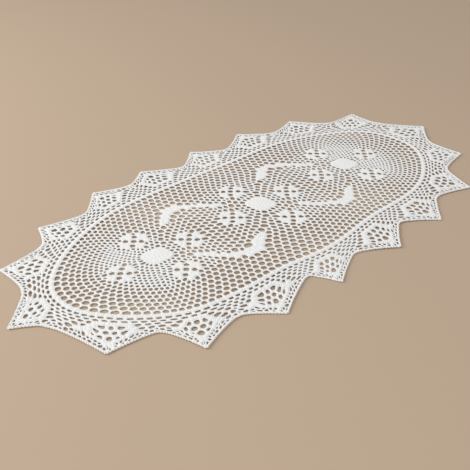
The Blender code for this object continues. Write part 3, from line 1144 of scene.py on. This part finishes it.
class LaceSizes(bpy.types.PropertyGroup):
    """The lace's own sizes."""

    strand_width: FloatProperty(
        name="Strand width",
        description="Usual width of the net's strands, which the width of each part follows",
        default=USUAL_WIDTH * MM, min=0.5 * MM, max=4 * MM, unit="LENGTH", precision=5)
    net_thickness: FloatProperty(
        name="Net thickness", description="Thickness of the net's strands",
        default=1.1 * MM, min=0.5 * MM, max=3 * MM, unit="LENGTH", precision=5)
    stitch_height: FloatProperty(
        name="Stitch height", description="Height of the solid stitches over the floor",
        default=0.72 * (CAD_BOX[1].z - CAD_BOX[0].z), min=1 * MM, max=4 * MM, unit="LENGTH",
        precision=5)
    ripple: FloatProperty(
        name="Ripple", description="How high the loosest parts of the lace lie over the floor",
        default=1.0 * MM, min=0.0, max=5 * MM, unit="LENGTH", precision=5)
    disc_rise: FloatProperty(
        name="Disc rise", description="How far the solid discs stand up in their middles",
        default=0.8 * MM, min=0.0, max=5 * MM, unit="LENGTH", precision=5)
    relax_rounds: IntProperty(
        name="Rounds of evening out",
        description="How often the net's gaps are moved towards the middles of their cells",
        default=3, min=0, max=10)


class CottonLook(bpy.types.PropertyGroup):
    """The cotton's colours, and the shade painted into the grooves of its twist."""

    cotton_colour: FloatVectorProperty(
        name="Cotton", description="Colour of the clean white cotton",
        default=(0.90, 0.90, 0.89), size=3, subtype="COLOR", min=0.0, max=1.0)
    aged_colour: FloatVectorProperty(
        name="Aged cotton", description="Colour where the cotton has yellowed a little",
        default=(0.86, 0.855, 0.835), size=3, subtype="COLOR", min=0.0, max=1.0)
    # Painted shade in the twist's grooves, not a colour of the cotton itself
    painted_groove_shade: FloatVectorProperty(
        name="Groove", description="Colour down in the twist of the thread",
        default=(0.60, 0.595, 0.58), size=3, subtype="COLOR", min=0.0, max=1.0)
    sheen: FloatProperty(
        name="Sheen", description="Soft glow of the loose fibres",
        default=0.25, min=0.0, max=1.0, subtype="FACTOR")


class StageLook(bpy.types.PropertyGroup):
    """The floor, light and camera."""

    floor_size: FloatProperty(
        name="Floor size", description="Side of the square floor",
        default=9.0, min=1.0, max=50.0, unit="LENGTH")
    floor_colour: FloatVectorProperty(
        name="Floor", description="Colour of the plain floor",
        default=(0.50, 0.38, 0.275), size=3, subtype="COLOR", min=0.0, max=1.0)
    key_power: FloatProperty(
        name="Key light", description="Power of the large soft light",
        default=20.0, min=0.0, max=500.0, unit="POWER")
    fill_power: FloatProperty(
        name="Fill light", description="Power of the light from the other side",
        default=6.0, min=0.0, max=500.0, unit="POWER")
    room_light: FloatProperty(
        name="Room light", description="Strength of the even light from all round",
        default=0.62, min=0.0, max=5.0)
    lens: FloatProperty(
        name="Lens", description="Focal length of the camera on a 36 mm sensor",
        default=57.7, min=10.0, max=300.0)


class LACE_OT_net(bpy.types.Operator):
    """Make the net ground inside the band, with the gaps of the flowers"""

    bl_idname = "lace.net"
    bl_label = "Net ground"

    def execute(self, context):
        put_piece("net_ground", GROUND)
        return {"FINISHED"}


class LACE_OT_medallions(bpy.types.Operator):
    """Make the solid stitches of the discs, flowers and chevrons"""

    bl_idname = "lace.medallions"
    bl_label = "Discs, flowers and chevrons"

    def execute(self, context):
        put_piece("medallions", (MEDALLIONS,))
        return {"FINISHED"}


class LACE_OT_band(bpy.types.Operator):
    """Make the oval band of double crochets"""

    bl_idname = "lace.band"
    bl_label = "Oval band"

    def execute(self, context):
        put_piece("oval_band", (BAND,))
        return {"FINISHED"}


class LACE_OT_border(bpy.types.Operator):
    """Make the border with its eighteen points and their solid edge"""

    bl_idname = "lace.border"
    bl_label = "Pointed border"

    def execute(self, context):
        put_piece("border_net", (BORDER,))
        put_piece("border_stitches", (EDGE,))
        return {"FINISHED"}


class LACE_OT_cloth(bpy.types.Operator):
    """Work out the flat area of the net ground; the result is not kept"""

    bl_idname = "lace.cloth"
    bl_label = "One sheet"

    def execute(self, context):
        flat_area(GROUND, context.scene.lace_sizes)
        return {"FINISHED"}


class LACE_OT_stage(bpy.types.Operator):
    """Make the floor, the lights and the camera"""

    bl_idname = "lace.stage"
    bl_label = "Stage"

    def execute(self, context):
        look = context.scene.stage_look
        make_floor(look)
        make_lights(context.scene, look)
        make_camera(context.scene, look)
        return {"FINISHED"}


def make_floor(look):
    """A square floor just under the lace."""
    half = look.floor_size / 2
    mesh = bpy.data.meshes.new("floor")
    corners = [(-half, -half, 0.0), (half, -half, 0.0), (half, half, 0.0), (-half, half, 0.0)]
    mesh.from_pydata(corners, [], [(0, 1, 2, 3)])
    finish = Finish("Plain floor")
    finish.feed(finish.sockets, {
        "Base Color": (*look.floor_colour, 1.0), "Roughness": 0.75, "Specular IOR Level": 0.2})
    mesh.materials.append(finish.material)
    floor = bpy.data.objects.new("floor", mesh)
    bpy.context.scene.collection.objects.link(floor)


def make_lights(scene, look):
    """Two large soft lights and an even pale room."""
    for name, power, size, place in (
            ("key", look.key_power, 1.0, (-1.1, 1.1, 0.95)),
            ("fill", look.fill_power, 1.8, (-0.9, -1.1, 1.0))):
        lamp = bpy.data.lights.new(name, "AREA")
        lamp.energy = power
        lamp.size = size
        light = bpy.data.objects.new(name, lamp)
        light.location = place
        light.rotation_mode = "QUATERNION"
        light.rotation_quaternion = (-light.location).to_track_quat("-Z", "Y")
        scene.collection.objects.link(light)
    world = bpy.data.worlds.new("Room")
    world.use_nodes = True
    room = world.node_tree.nodes["Background"].inputs
    room["Color"].default_value = (1.0, 1.0, 1.0, 1.0)
    room["Strength"].default_value = look.room_light
    scene.world = world


# The camera as it was found from the lace's own symmetry, in the pattern's millimetres
EYE = (-499.65, -491.08, 394.54)
EYE_RIGHT = (0.7238373, -0.68988968, -0.01057307)
EYE_DOWN = (-0.36791876, -0.3729689, -0.85178048)
EYE_FORWARD = (0.58369114, 0.62044052, -0.52379216)


def make_camera(scene, look):
    """The camera at the photograph's viewing angle."""
    camera = bpy.data.cameras.new("camera")
    camera.lens = look.lens
    camera.sensor_width = 36.0
    camera.clip_start = 0.01
    camera.clip_end = 100.0
    eye = bpy.data.objects.new("camera", camera)
    middle = box_middle()
    turn = Matrix((EYE_RIGHT, [-value for value in EYE_DOWN],
                   [-value for value in EYE_FORWARD])).transposed().to_4x4()
    place = (EYE[0] - middle[0], EYE[1] - middle[1], EYE[2])
    eye.matrix_world = Matrix.Translation([value * MM for value in place]) @ turn
    scene.collection.objects.link(eye)
    scene.camera = eye
    scene.view_settings.view_transform = "Standard"


class LACE_PT_panel(bpy.types.Panel):
    """The lace's sizes, colours and operators"""

    bl_idname = "LACE_PT_panel"
    bl_label = "Crochet table runner"
    bl_space_type = "VIEW_3D"
    bl_region_type = "UI"
    bl_category = "Lace"

    def draw(self, context):
        for group_name in GROUPS:
            group = getattr(context.scene, group_name)
            box = self.layout.box()
            for name in group.__annotations__:
                box.prop(group, name)
        for operator in OPERATORS:
            self.layout.operator(operator.bl_idname)


GROUPS = {"lace_sizes": LaceSizes, "cotton_look": CottonLook, "stage_look": StageLook}
OPERATORS = (LACE_OT_net, LACE_OT_medallions, LACE_OT_band, LACE_OT_border, LACE_OT_cloth,
             LACE_OT_stage)
CLASSES = (*GROUPS.values(), *OPERATORS, LACE_PT_panel)


def register():
    """Make the classes known, and give the scene its groups of sizes."""
    for item in CLASSES:
        bpy.utils.register_class(item)
    for name, group in GROUPS.items():
        setattr(bpy.types.Scene, name, PointerProperty(type=group))


def unregister():
    """Take back what register did."""
    for name in GROUPS:
        delattr(bpy.types.Scene, name)
    for item in reversed(CLASSES):
        bpy.utils.unregister_class(item)


def main():
    """Build everything in order."""
    register()
    bpy.ops.lace.net()
    bpy.ops.lace.medallions()
    bpy.ops.lace.band()
    bpy.ops.lace.border()
    bpy.ops.lace.cloth()
    bpy.ops.lace.stage()


if __name__ == "__main__":
    main()
